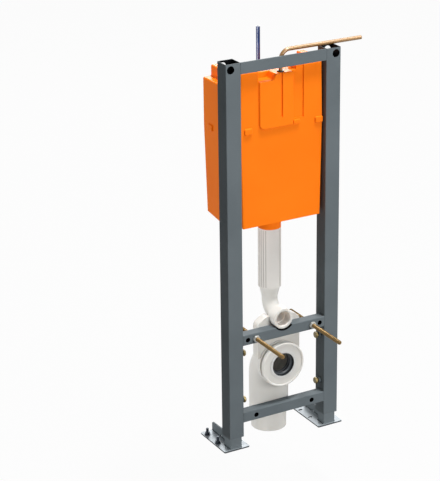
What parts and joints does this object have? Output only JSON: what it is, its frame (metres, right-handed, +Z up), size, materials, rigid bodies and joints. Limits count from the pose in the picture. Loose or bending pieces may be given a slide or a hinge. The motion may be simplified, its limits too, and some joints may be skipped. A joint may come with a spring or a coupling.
{
  "type": "wall hung toilet frame",
  "caption": "Grey steel stand for a wall hung pan, with a concealed orange cistern, flush pipe, drain bend, fixing studs and sliding feet.",
  "frame": {"origin": "on the floor, at the centre of the four free floor slots, midway between the uprights", "axes": "+Z up, +Y from the pan side to the back, +X to the right seen from the pan side"},
  "size_m": [0.444, 0.286, 1.16],
  "materials": {
    "grey_steel": "satin grey powder coat",
    "foot_steel": "satin grey coat, worn lighter on the tread",
    "dark_steel": "dark plated steel",
    "brass": "yellow passivated threads",
    "zinc_steel": "pale zinc plate",
    "orange_plastic": "blow-moulded, slightly glossy",
    "white_plastic": "off-white moulded plastic",
    "white_foam": "off-white insulating sleeve",
    "black_rubber": "matt black",
    "copper": "drawn copper, satin",
    "blue_plastic": "glossy blue tube"
  },
  "bodies": {
    "frame": {"left_upright": "grey_steel", "right_upright": "grey_steel", "left_clamp_nuts": "grey_steel", "right_clamp_nuts": "grey_steel", "top_bar": "grey_steel", "middle_crossbar": "grey_steel", "lower_crossbar": "grey_steel", "left_clamp_bolts": "brass", "right_clamp_bolts": "brass", "left_pan_stud": "brass", "right_pan_stud": "brass", "left_stud_nuts": "zinc_steel", "right_stud_nuts": "zinc_steel", "cistern_shell": "orange_plastic", "cistern_outlet": "orange_plastic", "flush_elbow": "white_plastic", "drain_bend": "white_plastic", "drain_pipe": "white_plastic", "drain_collar": "white_plastic", "pipe_bracket": "white_plastic", "flush_valve": "white_plastic", "flush_head": "white_plastic", "fill_valve": "white_plastic", "fill_float": "white_plastic", "flush_sleeve": "white_foam", "drain_seal": "black_rubber", "supply_grommet": "black_rubber", "supply_pipe": "copper", "actuator_rod": "blue_plastic"},
    "left_foot": {"left_foot_leg": "grey_steel", "left_foot_plate": "foot_steel", "left_foot_web": "grey_steel", "left_floor_bolts": "dark_steel", "left_floor_nuts": "dark_steel"},
    "right_foot": {"right_foot_leg": "grey_steel", "right_foot_plate": "foot_steel", "right_foot_web": "grey_steel", "right_floor_bolts": "dark_steel", "right_floor_nuts": "dark_steel"}
  },
  "joints": [
    {"name": "left_foot_slide", "type": "slide", "parent": "frame", "child": "left_foot", "axis": [0, 0, -1], "range_m": [0, 0.2]},
    {"name": "right_foot_slide", "type": "slide", "parent": "frame", "child": "right_foot", "axis": [0, 0, -1], "range_m": [0, 0.2]}
  ]
}
